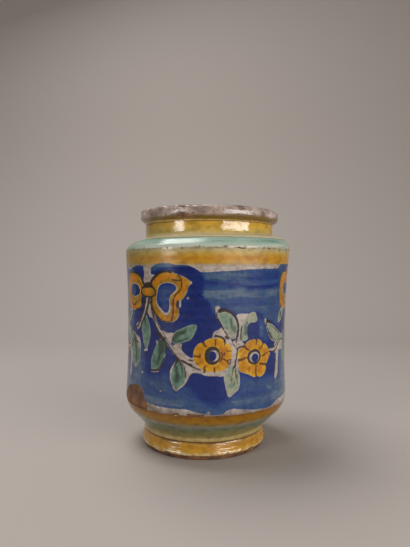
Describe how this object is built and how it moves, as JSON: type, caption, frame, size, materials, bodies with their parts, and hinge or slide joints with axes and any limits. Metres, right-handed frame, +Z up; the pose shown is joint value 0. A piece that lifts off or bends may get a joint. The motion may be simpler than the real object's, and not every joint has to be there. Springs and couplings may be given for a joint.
{
  "type": "albarello",
  "caption": "Waisted cylindrical drug jar of glazed earthenware, with a rolled lip, short neck, sloping shoulder, chamfered heel and turned foot, for holding dry or moist remedies.",
  "frame": {"origin": "middle of the ring that the jar stands on, on the jar's axis at the ground", "axes": "+Z up along the jar's axis, -Y towards the side that the picture shows, +X to the right of it"},
  "size_m": [0.1342, 0.1342, 0.1888],
  "materials": {
    "fired_clay": "bare red-brown earthenware",
    "lining_glaze": "plain cream glaze",
    "rim_glaze": "worn off-white glaze",
    "neck_glaze": "glossy yellow glaze",
    "shoulder_glaze": "glossy pale green-blue glaze",
    "upper_band_glaze": "glossy yellow glaze",
    "field_glaze": "glossy white glaze painted in blue, yellow and green",
    "lower_band_glaze": "glossy orange-yellow glaze",
    "heel_glaze": "glossy grey-green glaze",
    "foot_glaze": "glossy yellow glaze"
  },
  "bodies": {
    "root": {"clay_body": "fired_clay", "lining_glaze": "lining_glaze", "rim_glaze": "rim_glaze", "neck_glaze": "neck_glaze", "shoulder_glaze": "shoulder_glaze", "upper_band_glaze": "upper_band_glaze", "field_glaze": "field_glaze", "lower_band_glaze": "lower_band_glaze", "heel_glaze": "heel_glaze", "foot_glaze": "foot_glaze"}
  },
  "joints": []
}
